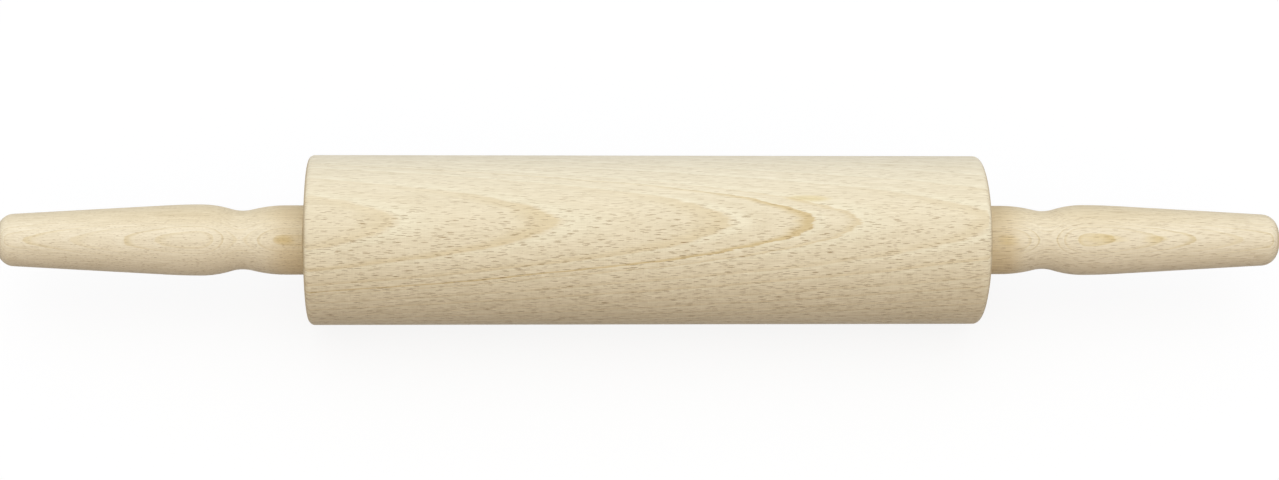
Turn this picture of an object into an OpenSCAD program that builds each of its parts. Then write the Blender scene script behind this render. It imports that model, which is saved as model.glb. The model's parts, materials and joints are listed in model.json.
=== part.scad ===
// Wooden rolling pin: a barrel turns on a steel axle between two handles screwed onto its ends.
// Millimetres. X runs along the pin and Z is up. The barrel rests on the plane Z = 0, with the
// middle of its length at X = 0 and the axle above Y = 0.

/* [Barrel] */
// Diameter of the rolling surface
barrel_d = 60; // [50:0.5:90]
// Length from end face to end face
barrel_len = 238; // [180:1:320]
// Radius of the rounded edge at each end
barrel_edge_r = 2.2; // [1:0.1:5]
// Clearance all round between the axle and the bore of the barrel
bore_gap = 0.5; // [0.3:0.1:1.5]

/* [Bushes] */
// Clearance all round between the axle and a bush
running_gap = 0.1; // [0.05:0.01:0.2]
// Wall of a bush
bush_wall = 2; // [1.5:0.1:4]
// Length of the part of a bush behind its flange
bush_len = 20; // [10:1:35]
// How far the flange of a bush stands out round its body
bush_rim = 3; // [2:0.1:5]
// Thickness of the flange of a bush
bush_flange_t = 1.5; // [1:0.1:3]
// How far the flange of a bush stands proud of the end of the barrel
bush_proud = 0.2; // [0.1:0.05:0.6]

/* [Axle] */
// Diameter of the axle between its shoulders
axle_d = 8; // [7.5:0.1:11]
// Outer diameter of the thread at each end of the axle
thread_d = 6; // [5:0.1:7]
// Length of each thread
thread_len = 23; // [15:1:40]
// Distance from one turn of the thread to the next
thread_pitch = 1; // [0.8:0.1:1.5]
// Depth of the thread
thread_depth = 0.55; // [0.3:0.05:0.8]
// Clearance all round between the thread of the axle and that of an insert
thread_gap = 0.05; // [0.03:0.01:0.15]

/* [Washers] */
// Distance from the bore of a washer to its rim
washer_band = 3.8; // [2:0.1:5]
// Thickness of a washer
washer_t = 0.8; // [0.5:0.1:2]
// Clearance all round between a washer and the axle
washer_gap = 0.2; // [0.1:0.05:0.5]
// Free play between a washer and the flange of its bush
end_play = 0.2; // [0.1:0.05:0.6]

/* [Inserts] */
// Wall of an insert, from the thread of the axle to the crests of the outer ridges
insert_wall = 2; // [1.5:0.1:3]
// Length of an insert
insert_len = 18; // [12:1:30]
// How far the flange of an insert stands out round its body
insert_rim = 2; // [1:0.1:3]
// Thickness of the flange of an insert
insert_flange_t = 1.2; // [0.8:0.1:2]
// Distance from one outer ridge to the next
ridge_pitch = 2; // [1.5:0.1:3]
// Depth of the outer ridges
ridge_depth = 0.6; // [0.3:0.05:1]

/* [Handles] */
// Length of a handle from its inner face to its tip
handle_len = 107.5; // [90:0.5:125]
// Diameter of the collar next to the barrel
collar_d = 24.5; // [23:0.1:30]
// Length of the collar up to where it starts to narrow
collar_len = 6.8; // [3:0.1:12]
// Radius of the rounded edge of the collar
collar_edge_r = 0.5; // [0.2:0.1:1.5]
// Radius of the curve from the collar into the neck
collar_curve_r = 48; // [25:1:80]
// Diameter at the narrowest place of the neck
neck_d = 20.7; // [17:0.1:22]
// Radius of the hollow curve of the neck
neck_curve_r = 14; // [8:0.5:25]
// Largest diameter of the grip
grip_d = 25.1; // [23:0.1:32]
// Radius of the curve from the neck up to the largest diameter
rise_curve_r = 36; // [20:1:60]
// Radius of the curve from the largest diameter down to the taper
fall_curve_r = 207; // [100:1:300]
// Slope of the taper against the axle, in degrees
taper_angle = 3.2; // [1.5:0.1:4]
// Radius of the rounded edge of the tip
tip_edge_r = 5.5; // [3:0.1:6.5]
// Radius of the domed end face of the tip
tip_dome_r = 28; // [18:1:60]
// Clearance all round between the thread of the axle and the bore of a handle
pilot_gap = 0.2; // [0.1:0.05:0.6]
// Room left in the bore of a handle beyond the end of the axle
pilot_room = 4; // [2:0.5:10]

/* [Hidden] */
$fn = 96;

// Turn about the upright that takes a piece from the right end of the pin to either end
right = 0;
left = 180;

// How far a cut runs past the face that it opens
past = 1;

barrel_r = barrel_d / 2;
barrel_end = barrel_len / 2;
axle_r = axle_d / 2;
axle_z = barrel_r;

bush_bore_r = axle_r + running_gap;
bush_r = bush_bore_r + bush_wall;
bush_flange_r = bush_r + bush_rim;
bush_outer = barrel_end + bush_proud;
bush_seat = bush_outer - bush_flange_t;
bush_inner = bush_seat - bush_len;

washer_bore_r = axle_r + washer_gap;
washer_r = washer_bore_r + washer_band;
washer_inner = bush_outer + end_play;

// The insert stops at the shoulder of the axle, with the washer just in front of it
shoulder = washer_inner + washer_t;

thread_r = thread_d / 2;
insert_r = thread_r + insert_wall;
insert_flange_r = insert_r + insert_rim;
pilot_len = max(thread_len, insert_len) + pilot_room;

// Every outline below is drawn as [distance from the axis, place along the pin]
function span(height, radii) = sqrt(2 * radii * height - height * height);
function toward(from, to, length) = from + length * (to - from) / norm(to - from);

// Centres of the four large curves, each touching the next, from the inner face of the handle
collar_curve = [collar_d / 2 - collar_curve_r, collar_len];
neck_at = collar_len + span((collar_d - neck_d) / 2, collar_curve_r + neck_curve_r);
neck_curve = [neck_d / 2 + neck_curve_r, neck_at];
grip_at = neck_at + span((grip_d - neck_d) / 2, neck_curve_r + rise_curve_r);
rise_curve = [grip_d / 2 - rise_curve_r, grip_at];
fall_curve = [grip_d / 2 - fall_curve_r, grip_at];

// Where the hollow of the neck touches the curves on either side
neck_from = toward(collar_curve, neck_curve, collar_curve_r);
neck_to = toward(rise_curve, neck_curve, rise_curve_r);

// The taper leaves the last large curve square to this direction
outward = [cos(taper_angle), sin(taper_angle)];
tipward = [-sin(taper_angle), cos(taper_angle)];
taper_from = fall_curve + fall_curve_r * outward;

// The centre of the tip's rounding lies at one depth under both the taper and the dome
dome = [0, handle_len - tip_dome_r];
under_taper = taper_from - tip_edge_r * outward - dome;
ahead = -under_taper * tipward;
under_dome = tip_dome_r - tip_edge_r;
tip_curve = dome + under_taper
    + tipward * (ahead + sqrt(ahead * ahead - under_taper * under_taper + under_dome * under_dome));
taper_to = tip_curve + tip_edge_r * outward;
dome_from = toward(dome, tip_curve, tip_dome_r);

beech = [0.90, 0.83, 0.68];
steel = [0.72, 0.73, 0.75];
zinc = [0.80, 0.78, 0.72];
nylon = [0.94, 0.93, 0.90];

// Turns an outline about the axle, as seen from one end of the pin
module turned(side = right)
    translate([0, 0, axle_z])
        rotate([0, 0, side])
            rotate([0, 90, 0])
                rotate_extrude()
                    children();

// An outline and its mirror image about the middle of the pin
module both_ways() {
    children();
    mirror([0, 1]) children();
}

// Straight-sided band between two distances from the axis and two places
module band(r0, r1, a0, a1)
    polygon([[r0, a0], [r1, a0], [r1, a1], [r0, a1]]);

// Band from the axis out to a sloping line
module under_line(from, to)
    polygon([[0, from.y], from, to, [0, to.y]]);

// Band from the axis out to the far side of a circle
module under_curve(centre, r, a0, a1) {
    core = max(0, centre.x);
    intersection() {
        translate(centre) fine_circle(r);
        band(core, centre.x + r + past, a0, a1);
    }
    if (core > 0) band(0, core, a0, a1);
}

// Band from the axis out to the near side of a circle
module under_hollow(centre, r, a0, a1)
    difference() {
        band(0, centre.x, a0, a1);
        translate(centre) fine_circle(r);
    }

module fine_circle(r)
    circle(r, $fn = max(96, 4 * r));

// Rod with a ridge at each pitch
module ridged(r, depth, pitch, length) {
    crest = pitch / 16;
    foot = pitch * 3 / 8;
    band(0, r - depth, 0, length);
    for (i = [1:floor(length / pitch)])
        translate([0, (i - 0.5) * pitch])
            polygon([[0, -foot], [r - depth, -foot], [r, -crest], [r, crest], [r - depth, foot], [0, foot]]);
}

module barrel()
    color(beech)
        turned()
            difference() {
                both_ways() {
                    edge = barrel_end - barrel_edge_r;
                    band(0, barrel_r, 0, edge);
                    under_curve([barrel_r - barrel_edge_r, edge], barrel_edge_r, edge, barrel_end);
                }
                both_ways() {
                    band(0, axle_r + bore_gap, 0, barrel_end + past);
                    band(0, bush_r, bush_inner, barrel_end + past);
                    band(0, bush_flange_r, bush_seat, barrel_end + past);
                }
            }

module axle()
    color(steel)
        turned()
            both_ways() {
                band(0, axle_r, 0, shoulder);
                translate([0, shoulder]) ridged(thread_r, thread_depth, thread_pitch, thread_len);
            }

module bush(side)
    color(nylon)
        turned(side) {
            band(bush_bore_r, bush_r, bush_inner, bush_outer);
            band(bush_bore_r, bush_flange_r, bush_seat, bush_outer);
        }

module washer(side)
    color(steel)
        turned(side)
            band(washer_bore_r, washer_r, washer_inner, shoulder);

module insert(side)
    color(zinc)
        turned(side)
            translate([0, shoulder])
                difference() {
                    union() {
                        ridged(insert_r, ridge_depth, ridge_pitch, insert_len);
                        band(0, insert_flange_r, 0, insert_flange_t);
                    }
                    ridged(thread_r + thread_gap, thread_depth, thread_pitch, insert_len + thread_pitch);
                    band(0, thread_r + thread_gap - thread_depth, -past, insert_len + past);
                }

// From the collar at the inner face to the domed tip
module handle_outline() {
    under_curve([collar_d / 2 - collar_edge_r, collar_edge_r], collar_edge_r, 0, collar_edge_r);
    band(0, collar_d / 2, collar_edge_r, collar_len);
    under_curve(collar_curve, collar_curve_r, collar_len, neck_from.y);
    under_hollow(neck_curve, neck_curve_r, neck_from.y, neck_to.y);
    under_curve(rise_curve, rise_curve_r, neck_to.y, grip_at);
    under_curve(fall_curve, fall_curve_r, grip_at, taper_from.y);
    under_line(taper_from, taper_to);
    under_curve(tip_curve, tip_edge_r, taper_to.y, dome_from.y);
    under_curve(dome, tip_dome_r, dome_from.y, handle_len + past);
}

module handle(side)
    color(beech)
        turned(side)
            translate([0, shoulder])
                difference() {
                    handle_outline();
                    band(0, thread_r + pilot_gap, -past, pilot_len);
                    band(0, insert_r, -past, insert_len);
                    band(0, insert_flange_r, -past, insert_flange_t);
                }

barrel();
axle();
bush(left);  // left_bush
bush(right);  // right_bush
washer(left);  // left_washer
washer(right);  // right_washer
insert(left);  // left_insert
insert(right);  // right_insert
handle(left);  // left_handle
handle(right);  // right_handle
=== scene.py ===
"""Looks of the wooden rolling pin: bare beech, and the metal and nylon that it hides."""

import json
import math
from typing import NamedTuple

import bpy
from mathutils import Matrix, Vector


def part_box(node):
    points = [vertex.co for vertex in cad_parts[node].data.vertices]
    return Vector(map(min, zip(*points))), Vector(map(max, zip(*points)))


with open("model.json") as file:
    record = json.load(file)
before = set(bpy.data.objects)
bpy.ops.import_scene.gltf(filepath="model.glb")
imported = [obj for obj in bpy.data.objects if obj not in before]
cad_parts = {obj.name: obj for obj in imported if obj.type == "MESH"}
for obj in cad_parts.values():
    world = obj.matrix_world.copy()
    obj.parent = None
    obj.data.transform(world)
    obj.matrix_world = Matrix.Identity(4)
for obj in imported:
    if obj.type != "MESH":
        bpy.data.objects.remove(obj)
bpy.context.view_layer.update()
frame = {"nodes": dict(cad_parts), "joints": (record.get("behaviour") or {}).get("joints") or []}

# Blender's lengths are metres, and the materials are described in millimetres
MM_PER_METRE = 1000

# Height of the axle in metres. The barrel rests on the floor, so this is its radius too
AXLE_HEIGHT = frame["joints"][0]["pos_m"][2]

# Distance from the middle of the pin to the inner face of a handle, in millimetres
HANDLE_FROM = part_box("right_handle")[0].x * MM_PER_METRE

# The camera looks down on the axle from the front, in metres and radians. It stands left of the middle
# and is turned a little to the right
CAMERA_X = -0.0491
CAMERA_DISTANCE = 0.891
CAMERA_ELEVATION = math.radians(50)
CAMERA_YAW = math.radians(3.013)
LENS = 70.63
SENSOR = 36

# Light of the room: from all round but the ends, from above, warm from the front and cool from behind
LIGHT_ROUND = 0.33, 0.31, 0.26
LIGHT_ENDS = -0.30, -0.28, -0.24
LIGHT_ABOVE = 1.08, 1.15, 1.19
LIGHT_FRONT = 0.32, 0.14, 0.05
LIGHT_BACK = 0, 0, 0.23

# By the share of its glow the floor is white to the camera, and the rest shows the shadow. Its tone is
# for the light that it throws on the pin
FLOOR_HALF = 6
FLOOR_GLOW = 0.87
FLOOR_TONE = 0.22, 0.20, 0.18, 1
WHITE = 1, 1, 1, 1

# Rings of the tree: distance from the pith where a ring ends, in millimetres, and how dark it ends
RINGS = [
    (49.5, 0.2), (54.1, 0.3), (58.8, 0.2), (63.0, 0.25), (67.6, 0.4), (72.4, 0.3), (74.8, 1.0),
    (75.9, 0.35), (79.9, 0.2), (83.4, 0.3), (87.8, 0.15), (91.0, 0.3), (95.2, 0.2), (98.3, 0.3),
    (102.6, 0.15), (106.9, 0.3), (109.6, 0.2), (113.9, 0.3), (117.2, 0.2), (121.8, 0.3),
    (125.1, 0.2), (129.4, 0.3), (133.0, 0.2), (137.6, 0.3),
]

# Tones that the colour of the rings is multiplied by
FLECK_TONE = 0.32, 0.19, 0.05, 1
MARK_TONE = 0.92, 0.86, 0.68, 1
# Painted shade on the upper side of a piece
UPPER_SHADE_TONE = 0.90, 0.85, 0.75, 1
# End grain, partly painted shade on the ends
END_GRAIN_AND_SHADE_TONE = 0.70, 0.62, 0.51, 1
# Painted shade on the collars next to the gap
GAP_SHADE_TONE = 0.90, 0.84, 0.73, 1

# Cells of the noise in the wood, in millimetres along the tree, round it and out from its pith
RAGGED_CELL = 22, 3, 8
FRAY_CELL = 6, 0.5, 6
CLOUD_CELL = 45, 9, 9
STREAK_CELL = 25, 0.35, 0.5
RAY_CELL = 30, 0.4, 9

# The wander of the rings and the fibres have cells as long as the piece says
WANDER_SLENDERNESS = 3
WANDER_DEPTH = 40
FIBRE_WIDTH = 0.22
FIBRE_DEPTH = 0.5

# Marks of turning and sanding have cells in millimetres along the axle and round it
SANDING_CELL = 0.5, 7.5, 1

# Width of the fine lines within the rings, on the scale of RINGS
LINE_WIDTH = 0.8

# How far the rings are ragged and frayed, on the scale of RINGS
RAGGED_REACH = 0.6
FRAY_REACH = 0.4

# A ramp holds the values where it starts and stops, and then its results there if they aren't 0 and 1.
# Across a ring, from 0 to 1, the early wood fades out, the late wood comes in, and both joins are soft
EARLY_RAMP = 0.0, 0.4, 1.0, 0.0
LATE_RAMP = 0.68, 0.95
RING_JOIN = 0.035

# Rings get weaker or stronger round the tree, from about -1 at the lower side of the piece to 1 at the
# upper one. The lower ramp stops at the strength that the piece has there
LATE_UPPER_RAMP = 0.1, 0.7, 1.0, 0.25
LATE_LOWER_RAMP = -0.1, -0.5, 1.3
EARLY_ASIDE_RAMP = 0.15, 0.7, 1.0, 0.5

# Shares of fibres, sanding and streaks in the shading, and what all of it does to red, green and blue
FIBRE_SHARE = 1.6
SANDING_SHARE = 0.5
STREAK_SHARE = 4.0
SHADING = 0.085, 0.10, 0.13

# Flecks lie one to a cell, with sizes in shares of it. The higher the rarity, the fewer are large
FLECK_LEAST = 0.06
FLECK_GROWTH = 0.22
FLECK_RARITY = 1.7
FLECK_EDGE = 0.09
FLECK_STRENGTHS = 0.15, 0.8

# A yellow mark fades in from its ragged outline, which is at 1, to its middle
MARK_RAGGED = 2.0
MARK_RAMP = 1.0, -0.4

# A surface turns into end grain as its normal leans along the axle, and has this share of its tone,
# partly painted shade on the ends
END_RAMP = 0.55, 0.85
END_GRAIN_AND_SHADE_SHARE = 0.8

# The painted shade next to the gap fades out between these distances from it, in millimetres. It is
# stronger lower down
GAP_SHADE_REACH = 4.8, 15.8
GAP_SHADE_SIDE_RAMP = 8, -6, 0.6, 1.1

# Surface of the wood, with the height of its relief in metres
WOOD_ROUGHNESS = 0.56
FIBRE_ROUGHNESS = 0.25
FLECK_ROUGHNESS = 0.1
WOOD_SPECULAR = 0.3
FIBRE_RELIEF = 0.6
FLECK_RELIEF = -0.6
WOOD_BUMP = {"distance": 0.00004, "strength": 0.6}

# Metal: the lines have cells in millimetres along the axle and out from it and in radians round it
METAL_LINE_CELL = 0.11, 0.11, 1.7
METAL_FILM_CELL = 6, 1, 1
METAL_FILM_RAMP = -0.1, 0.15
METAL_LINE_ROUGHNESS = 0.3
METAL_BUMP = {"distance": 0.00002, "strength": 0.5}

# Nylon, with its grain in cells to the millimetre and the depth that light gets to in metres
MOTTLE_RAMP = -0.2, 0.2
NYLON_GRAIN = 6, 6, 6
NYLON_ROUGHNESS = 0.42
NYLON_GRAIN_ROUGHNESS = 0.2
NYLON_MILKINESS = 0.15
NYLON_DEPTH = 0.002
NYLON_BUMP = {"distance": 0.00003, "strength": 0.4}


# How much finer detail a noise has
LOW_DETAIL = 1.0
MIDDLE_DETAIL = 2.0
HIGH_DETAIL = 3.0

# Numbers of the sockets for colours in a Mix node, whose names stand for other sockets too
MIX_FIRST = 6
MIX_SECOND = 7
MIX_RESULT = 2


class Graph:
    """The nodes of a material or a world. A value is a number, a tuple or an output of another node."""

    def __init__(self, owner):
        owner.use_nodes = True
        self.nodes = owner.node_tree.nodes
        self.links = owner.node_tree.links
        self.nodes.clear()

    def feed(self, socket, value):
        if isinstance(value, bpy.types.NodeSocket):
            self.links.new(value, socket)
        else:
            socket.default_value = value

    def add(self, kind, inputs, **settings):
        node = self.nodes.new("ShaderNode" + kind)
        for name, value in settings.items():
            setattr(node, name, value)
        for name, value in inputs.items():
            self.feed(node.inputs[name], value)
        return node

    def math(self, operation, *values):
        node = self.add("Math", {}, operation=operation)
        for socket, value in zip(node.inputs, values):
            self.feed(socket, value)
        return node.outputs[0]

    def vector_math(self, operation, *values):
        node = self.add("VectorMath", {}, operation=operation)
        for socket, value in zip(node.inputs, values):
            self.feed(socket, value)
        return node.outputs["Value" if operation == "DOT_PRODUCT" else "Vector"]

    def product(self, result, *factors):
        for factor in factors:
            result = self.math("MULTIPLY", result, factor)
        return result

    def distance(self, a, b):
        """Distance of the point (a, b) from (0, 0)."""
        squares = self.math("ADD", self.math("POWER", a, 2), self.math("POWER", b, 2))
        return self.math("SQRT", squares)

    def split(self, vector):
        return self.add("SeparateXYZ", {"Vector": vector}).outputs

    def join(self, x, y, z):
        return self.add("CombineXYZ", {"X": x, "Y": y, "Z": z}).outputs[0]

    def grid(self, places, cell):
        """A vector that counts each place in cells of its own size."""
        return self.vector_math("DIVIDE", self.join(*places), cell)

    def noise(self, vector, detail=MIDDLE_DETAIL):
        """Smooth noise about zero, from about -0.5 to 0.5."""
        node = self.add("TexNoise", {"Vector": vector, "Scale": 1.0, "Detail": detail})
        return self.math("SUBTRACT", node.outputs["Fac"], 0.5)

    def rescale(self, value, low, high, new_low=0.0, new_high=1.0, kind="SMOOTHSTEP"):
        ends = {"From Min": low, "From Max": high, "To Min": new_low, "To Max": new_high}
        node = self.add("MapRange", {"Value": value, **ends}, interpolation_type=kind)
        return node.outputs["Result"]

    def curve(self, value, points):
        """The line through points of (value, result)."""
        low, high = points[0][0], points[-1][0]
        node = self.add("FloatCurve", {"Value": self.rescale(value, low, high, kind="LINEAR")})
        line = node.mapping.curves[0].points
        places = [((x - low) / (high - low), y) for x, y in points]
        line[0].location = places[0]
        line[1].location = places[-1]
        for x, y in places[1:-1]:
            line.new(x, y)
        for point in line:
            point.handle_type = "VECTOR"
        node.mapping.update()
        return node.outputs[0]

    def blend(self, factor, a, b, kind="MIX"):
        node = self.add("Mix", {}, data_type="RGBA", blend_type=kind)
        self.feed(node.inputs[0], factor)
        self.feed(node.inputs[MIX_FIRST], a)
        self.feed(node.inputs[MIX_SECOND], b)
        return node.outputs[MIX_RESULT]

    def tint(self, factor, colour, tone):
        """The colour, multiplied by a tone where factor is 1."""
        return self.blend(factor, colour, tone, "MULTIPLY")

    def bump(self, height, distance, strength):
        inputs = {"Height": height, "Distance": distance, "Strength": strength}
        return self.add("Bump", inputs).outputs[0]

    def millimetres(self):
        """Place on the object in millimetres, measured from the middle of the axle."""
        place = self.add("TexCoord", {}).outputs["Object"]
        scale = (MM_PER_METRE, MM_PER_METRE, MM_PER_METRE)
        return self.vector_math("MULTIPLY_ADD", place, scale, (0, 0, -MM_PER_METRE * AXLE_HEIGHT))

    def seen(self):
        """1 for what the camera sees, also in metal and through glass, and 0 for light on the object."""
        path = self.add("LightPath", {}).outputs
        seen = self.math("MAXIMUM", path["Is Camera Ray"], path["Is Glossy Ray"])
        return self.math("MAXIMUM", seen, path["Is Transmission Ray"])

    def finish(self, inputs):
        shader = self.add("BsdfPrincipled", inputs)
        self.add("OutputMaterial", {"Surface": shader.outputs[0]})


class Wood(NamedTuple):
    """A turned piece and the tree it is cut from. Lengths are in millimetres and angles in radians.

    An arc runs round the tree from the line between the pith and the axle, and is positive upwards.
    """

    name: str
    radius: float  # of the piece, about
    early: tuple  # colour of a ring where it starts
    body: tuple  # colour in the middle of a ring
    late: tuple  # colour of a ring at its dark end
    pith: float  # distance from the axle to the pith
    elevation: float  # of the pith as seen from the axle, up from the front
    tilt: float  # between the pith and the axle
    on_axle: float  # place in RINGS that lies on the axle
    ring_scale: float  # width of the rings against RINGS
    wander: float  # how far the rings wander
    wave: float  # length along the tree over which they do
    lower_strength: float  # strength of the dark ends of the rings at the lower side
    upper_shade_arcs: tuple  # between these arcs, on the upper side, the wood gets darker: painted shade
    grain_ramp: tuple  # an upper and a lower arc, and how coarse the grain is at each
    fleck_length: float  # of the cell of a fleck
    fleck_width: float  # of the cell of a fleck
    fleck_lean: float  # rise of the flecks along the axle
    fleck_share: float  # strength of the flecks
    film: float  # strength of the painted shade next to the gap
    marks: tuple  # for each, its place along the axle and round it, its half length and half width


BARREL = Wood(
    name="barrel_beech",
    radius=AXLE_HEIGHT * MM_PER_METRE,
    early=(0.866, 0.807, 0.609, 1),
    body=(0.820, 0.739, 0.542, 1),
    late=(0.700, 0.570, 0.320, 1),
    pith=100,
    elevation=math.radians(62),
    tilt=math.radians(4.66),
    on_axle=100,
    ring_scale=1.0,
    wander=0.8,
    wave=60,
    lower_strength=1.3,
    upper_shade_arcs=(30, 60),
    grain_ramp=(14, -20, 0.6, 2.6),
    fleck_length=5.6,
    fleck_width=0.28,
    fleck_lean=-0.01,
    fleck_share=1.0,
    film=0.0,
    marks=((55, -6.2, 9.0, 2.2),),
)

LEFT_HANDLE = Wood(
    name="left_handle_beech",
    radius=12,
    early=(0.880, 0.805, 0.620, 1),
    body=(0.862, 0.780, 0.588, 1),
    late=(0.680, 0.540, 0.250, 1),
    pith=80,
    elevation=CAMERA_ELEVATION,
    tilt=0.0,
    on_axle=150,
    ring_scale=0.22,
    wander=0.3,
    wave=15,
    lower_strength=0.5,
    upper_shade_arcs=(3, 11),
    grain_ramp=(10, -8, 0.8, 1.6),
    fleck_length=2.6,
    fleck_width=0.22,
    fleck_lean=0.0,
    fleck_share=0.65,
    film=0.8,
    marks=((-126.9, -8.6, 4.0, 2.2),),
)

# The right handle comes from another place in a tree like that of the left one
RIGHT_HANDLE = LEFT_HANDLE._replace(
    name="right_handle_beech",
    late=(0.63, 0.48, 0.16, 1),
    pith=84,
    on_axle=146.8,
    wave=20,
    grain_ramp=(10, -8, 1.1, 1.8),
    fleck_length=5.6,
    fleck_width=0.24,
    fleck_lean=-0.02,
    fleck_share=0.7,
    film=1.2,
    marks=((127.5, -8.6, 5.0, 2.4), (161, -8.4, 11.0, 2.2), (181, -8.4, 6.0, 2.0)),
)


class BeechGraph(Graph):
    """The nodes of bare beech. What several of its parts need is made first."""

    def __init__(self, material, wood):
        super().__init__(material)
        self.wood = wood
        place = self.millimetres()
        self.x, y, z = self.split(place)

        # Distance round the piece from its top, positive towards the back
        self.girth = self.math("MULTIPLY", self.math("ARCTAN2", y, z), wood.radius)

        # Place in the tree: along it, round it and out from its pith
        turn = (wood.elevation, 0, wood.tilt)
        turned = self.add("Mapping", {"Vector": place, "Rotation": turn, "Location": (0, wood.pith, 0)})
        along, out, across = self.split(turned.outputs[0])
        self.from_pith = self.distance(out, across)
        self.arc = self.math("MULTIPLY", self.math("ARCTAN2", across, out), wood.pith)
        self.tree_place = along, self.arc, self.from_pith

        # An end is 1 on the faces across the axle and 0 on the turned side
        normal_x = self.split(self.add("TexCoord", {}).outputs["Normal"])["X"]
        self.end = self.rescale(self.math("ABSOLUTE", normal_x), *END_RAMP)
        self.side = self.math("SUBTRACT", 1.0, self.end)

        self.slow = self.grain((wood.wave, wood.wave / WANDER_SLENDERNESS, WANDER_DEPTH))
        self.ragged = self.grain(RAGGED_CELL)
        self.fibre = self.grain((wood.fleck_length, FIBRE_WIDTH, FIBRE_DEPTH), LOW_DETAIL)
        self.sanding = self.noise(self.grid((self.x, self.girth, 0.0), SANDING_CELL), LOW_DETAIL)
        self.coarseness = self.rescale(self.arc, *wood.grain_ramp, kind="LINEAR")

    def grain(self, cell, detail=MIDDLE_DETAIL):
        """Noise that follows the tree."""
        return self.noise(self.grid(self.tree_place, cell), detail)

    def ring_place(self):
        """Distance from the pith on the scale of RINGS, for rings that wander, are ragged and fray."""
        wood = self.wood
        fray = self.math("MULTIPLY", self.grain(FRAY_CELL, HIGH_DETAIL), self.side)
        place = self.math("MULTIPLY_ADD", self.slow, wood.wander, self.from_pith)
        place = self.math("MULTIPLY_ADD", self.ragged, RAGGED_REACH * wood.ring_scale, place)
        place = self.math("MULTIPLY_ADD", fray, FRAY_REACH * wood.ring_scale, place)
        place = self.math("SUBTRACT", place, wood.pith)
        return self.math("MULTIPLY_ADD", place, 1 / wood.ring_scale, wood.on_axle)

    def rings(self, place):
        """Colour of the rings, each from its light start to its dark end."""
        wood = self.wood
        edges, darks = zip(*RINGS)
        last = len(RINGS) - 1
        place = self.math("WRAP", place, edges[-1], edges[0])
        count = self.curve(place, [(edge, i / last) for i, edge in enumerate(edges)])
        count = self.math("MULTIPLY", count, last)
        within = self.math("FRACT", count)
        dark = self.curve(self.math("CEIL", count), list(enumerate(darks)))
        off_middle = self.math("ABSOLUTE", self.math("SUBTRACT", within, 0.5))
        soft = self.rescale(off_middle, 0.5, 0.5 - RING_JOIN)

        aside = self.math("DIVIDE", self.arc, wood.radius)
        early = self.product(
            self.rescale(within, *EARLY_RAMP),
            soft,
            self.rescale(self.math("ABSOLUTE", aside), *EARLY_ASIDE_RAMP),
        )
        late = self.product(
            self.rescale(within, *LATE_RAMP),
            soft,
            dark,
            self.rescale(aside, *LATE_UPPER_RAMP),
            self.rescale(aside, *LATE_LOWER_RAMP, wood.lower_strength),
        )
        return self.blend(late, self.blend(early, wood.body, wood.early), wood.late)

    def shading(self, place):
        """Tone of broad clouds, lines in the rings, streaks, fibres and the marks of sanding."""
        line = self.noise(self.grid((place, 0.0, 0.0), (LINE_WIDTH, 1, 1)), LOW_DETAIL)
        broad = self.math("ADD", self.grain(CLOUD_CELL), line)
        streak = self.grain(STREAK_CELL, LOW_DETAIL)
        broad = self.math("MULTIPLY_ADD", streak, STREAK_SHARE, broad)
        fine = self.math("MULTIPLY", self.sanding, SANDING_SHARE)
        fine = self.math("MULTIPLY_ADD", self.fibre, FIBRE_SHARE, fine)
        shade = self.math("MULTIPLY_ADD", fine, self.coarseness, broad)
        return self.vector_math("MULTIPLY_ADD", self.join(shade, shade, shade), SHADING, (1, 1, 1))

    def flecks(self):
        """Edges of the rays, which are thin plates along the radius. Most are small and faint."""
        wood = self.wood
        lean = self.math("ADD", self.slow, self.girth)
        lean = self.math("MULTIPLY_ADD", self.x, wood.fleck_lean, lean)
        cells = self.grid((self.x, lean, 0.0), (wood.fleck_length, wood.fleck_width, 1))
        cell = self.add("TexVoronoi", {"Vector": cells, "Scale": 1.0}, voronoi_dimensions="2D")

        # The other two channels of a cell's colour are tied to where its middle lies
        chance = self.split(cell.outputs["Color"])["Z"]
        size = self.math("POWER", chance, FLECK_RARITY)
        size = self.math("MULTIPLY_ADD", size, FLECK_GROWTH, FLECK_LEAST)
        fleck = self.rescale(self.math("SUBTRACT", size, cell.outputs["Distance"]), 0.0, FLECK_EDGE)
        strength = self.rescale(chance, 0.0, 1.0, *FLECK_STRENGTHS, kind="LINEAR")
        return self.product(fleck, strength, self.coarseness, wood.fleck_share, self.side)

    def marked(self, colour):
        """The colour with the yellow marks, each a spindle along the axle."""
        skin = self.join(self.x, self.girth, 0.0)
        for x, girth, half_length, half_width in self.wood.marks:
            scale = (1 / half_length, 1 / half_width, 0)
            shift = (-x / half_length, -girth / half_width, 0)
            away = self.vector_math("MULTIPLY_ADD", skin, scale, shift)
            away = self.vector_math("DOT_PRODUCT", away, away)
            away = self.math("MULTIPLY_ADD", self.ragged, MARK_RAGGED, away)
            colour = self.tint(self.rescale(away, *MARK_RAMP), colour, MARK_TONE)
        return colour

    def end_grain_and_shade(self):
        """Share of end grain, which soaks up more and is crossed by rays, together with painted shade on
        the ends.
        """
        rays = self.math("ADD", self.grain(RAY_CELL), END_GRAIN_AND_SHADE_SHARE)
        return self.math("MULTIPLY", self.end, rays)

    def film(self):
        """Share of the painted shade that darkens a collar next to the gap, more on its lower side."""
        start, stop = (HANDLE_FROM + reach for reach in GAP_SHADE_REACH)
        film = self.rescale(self.math("ABSOLUTE", self.x), start, stop, self.wood.film, 0.0)
        return self.math("MULTIPLY", film, self.rescale(self.arc, *GAP_SHADE_SIDE_RAMP))


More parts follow.
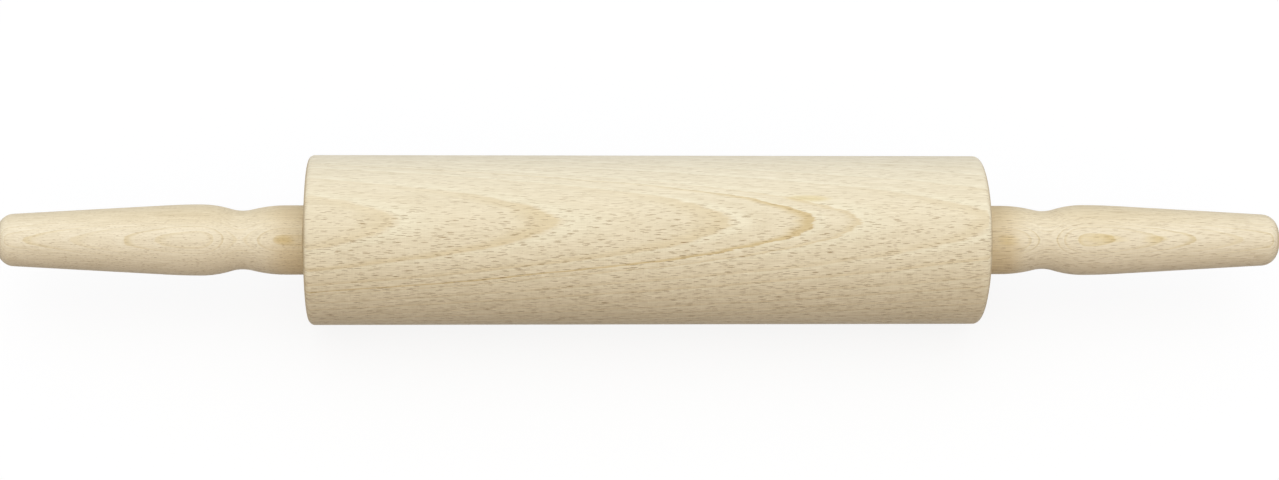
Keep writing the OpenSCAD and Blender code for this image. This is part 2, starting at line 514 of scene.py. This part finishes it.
def beech(wood):
    """Bare beech, from the rings inside it to what lies on it, with painted shade on the upper sides,
    the ends and next to the gaps.
    """
    material = bpy.data.materials.new(wood.name)
    graph = BeechGraph(material, wood)
    ring_place = graph.ring_place()
    fleck = graph.flecks()
    colour = graph.rings(ring_place)
    colour = graph.tint(1.0, colour, graph.shading(ring_place))
    colour = graph.tint(fleck, colour, FLECK_TONE)
    colour = graph.marked(colour)
    # Painted shade that darkens the upper side of each piece
    colour = graph.tint(graph.rescale(graph.arc, *wood.upper_shade_arcs), colour, UPPER_SHADE_TONE)
    # End grain, with painted shade on the ends of the pieces
    colour = graph.tint(graph.end_grain_and_shade(), colour, END_GRAIN_AND_SHADE_TONE)
    # Painted shade on the collars next to the gap
    colour = graph.tint(graph.film(), colour, GAP_SHADE_TONE)
    relief = graph.math("MULTIPLY_ADD", graph.fibre, FIBRE_RELIEF, graph.sanding)
    relief = graph.math("MULTIPLY_ADD", fleck, FLECK_RELIEF, relief)
    roughness = graph.math("MULTIPLY_ADD", graph.fibre, FIBRE_ROUGHNESS, WOOD_ROUGHNESS)
    graph.finish({
        "Base Color": colour,
        "Roughness": graph.math("MULTIPLY_ADD", fleck, FLECK_ROUGHNESS, roughness),
        "Specular IOR Level": WOOD_SPECULAR,
        "Normal": graph.bump(relief, **WOOD_BUMP),
    })
    return material


def drawn_metal(name, colour, film_colour, film_share, roughness):
    """Metal with fine lines round the axle and a patchy film."""
    material = bpy.data.materials.new(name)
    graph = Graph(material)
    x, y, z = graph.split(graph.millimetres())
    angle = graph.math("ARCTAN2", z, y)
    lines = graph.noise(graph.grid((x, graph.distance(y, z), angle), METAL_LINE_CELL), HIGH_DETAIL)
    film = graph.noise(graph.grid((x, y, z), METAL_FILM_CELL), HIGH_DETAIL)
    film = graph.math("MULTIPLY", graph.rescale(film, *METAL_FILM_RAMP), film_share)
    graph.finish({
        "Base Color": graph.blend(film, colour, film_colour),
        "Metallic": 1.0,
        "Roughness": graph.math("MULTIPLY_ADD", lines, METAL_LINE_ROUGHNESS, roughness),
        "Normal": graph.bump(lines, **METAL_BUMP),
    })
    return material


def moulded(name, colour, patch):
    """Natural nylon: milky, with a faint mottle."""
    material = bpy.data.materials.new(name)
    graph = Graph(material)
    place = graph.millimetres()
    mottle = graph.rescale(graph.noise(place, HIGH_DETAIL), *MOTTLE_RAMP)
    fine = graph.noise(graph.vector_math("MULTIPLY", place, NYLON_GRAIN))
    graph.finish({
        "Base Color": graph.blend(mottle, colour, patch),
        "Roughness": graph.math("MULTIPLY_ADD", fine, NYLON_GRAIN_ROUGHNESS, NYLON_ROUGHNESS),
        "Normal": graph.bump(fine, **NYLON_BUMP),
        "Subsurface Weight": NYLON_MILKINESS,
        "Subsurface Radius": (NYLON_DEPTH, NYLON_DEPTH, NYLON_DEPTH),
    })
    return material


def paper():
    """The floor: nearly white to the camera, and a dim tone for the light that it throws on the pin."""
    material = bpy.data.materials.new("paper")
    graph = Graph(material)
    glow = graph.add("Emission", {"Color": WHITE, "Strength": 1.0})
    white = graph.add("BsdfDiffuse", {"Color": WHITE})
    bright = graph.add("MixShader", {0: FLOOR_GLOW, 1: white.outputs[0], 2: glow.outputs[0]})
    dim = graph.add("BsdfDiffuse", {"Color": FLOOR_TONE})
    both = graph.add("MixShader", {0: graph.seen(), 1: dim.outputs[0], 2: bright.outputs[0]})
    graph.add("OutputMaterial", {"Surface": both.outputs[0]})
    return material


def dress(material, *nodes):
    """Gives CAD nodes their material."""
    for node in nodes:
        for slot in frame["nodes"][node].material_slots:
            slot.material = material


def add_camera():
    """The camera, whose own X and Y axes point sideways and upward in the picture."""
    camera = bpy.data.objects.new("camera", bpy.data.cameras.new("camera"))
    bpy.context.scene.collection.objects.link(camera)
    bpy.context.scene.camera = camera
    camera.data.lens = LENS
    camera.data.sensor_width = SENSOR
    sin_up, cos_up = math.sin(CAMERA_ELEVATION), math.cos(CAMERA_ELEVATION)
    sin_yaw, cos_yaw = math.sin(CAMERA_YAW), math.cos(CAMERA_YAW)
    sideways = Vector((cos_yaw, -sin_yaw * cos_up, sin_yaw * sin_up))
    upward = Vector((0, sin_up, cos_up))
    camera.matrix_world = Matrix.LocRotScale(
        Vector((CAMERA_X, -CAMERA_DISTANCE * cos_up, AXLE_HEIGHT + CAMERA_DISTANCE * sin_up)),
        Matrix((sideways, upward, sideways.cross(upward))).transposed(),
        None,
    )


def add_light():
    """Light that depends on where it comes from, and a background that is white to the camera."""
    world = bpy.data.worlds.new("room")
    bpy.context.scene.world = world
    graph = Graph(world)
    x, y, z = graph.split(graph.add("TexCoord", {}).outputs["Generated"])
    light = LIGHT_ROUND
    for height, tone in (
        (graph.math("POWER", x, 2.0), LIGHT_ENDS),
        (z, LIGHT_ABOVE),
        (graph.math("MULTIPLY", y, -1.0), LIGHT_FRONT),
        (y, LIGHT_BACK),
    ):
        share = graph.math("MAXIMUM", height, 0.0)
        light = graph.vector_math("MULTIPLY_ADD", graph.join(share, share, share), tone, light)
    light = graph.blend(graph.seen(), light, WHITE)
    sky = graph.add("Background", {"Color": light, "Strength": 1.0})
    graph.add("OutputWorld", {"Surface": sky.outputs[0]})


def add_floor():
    """A square floor with its middle under the pin."""
    corners = [(x * FLOOR_HALF, y * FLOOR_HALF, 0) for x, y in ((-1, -1), (1, -1), (1, 1), (-1, 1))]
    mesh = bpy.data.meshes.new("floor")
    mesh.from_pydata(corners, [], [(0, 1, 2, 3)])
    mesh.materials.append(paper())
    floor = bpy.data.objects.new("floor", mesh)
    bpy.context.scene.collection.objects.link(floor)


bpy.context.scene.view_settings.view_transform = "Standard"
add_camera()
add_light()
add_floor()

steel = drawn_metal(
    name="drawn_steel",
    colour=(0.62, 0.63, 0.65, 1),
    film_colour=(0.50, 0.51, 0.53, 1),
    film_share=0.6,
    roughness=0.28,
)
zinc = drawn_metal(
    name="plated_zinc",
    colour=(0.66, 0.64, 0.56, 1),
    film_colour=(0.62, 0.60, 0.40, 1),
    film_share=0.8,
    roughness=0.36,
)
nylon = moulded(
    name="natural_nylon",
    colour=(0.84, 0.82, 0.75, 1),
    patch=(0.78, 0.75, 0.67, 1),
)
dress(beech(BARREL), "barrel")
dress(beech(LEFT_HANDLE), "left_handle")
dress(beech(RIGHT_HANDLE), "right_handle")
dress(steel, "axle", "left_washer", "right_washer")
dress(zinc, "left_insert", "right_insert")
dress(nylon, "left_bush", "right_bush")
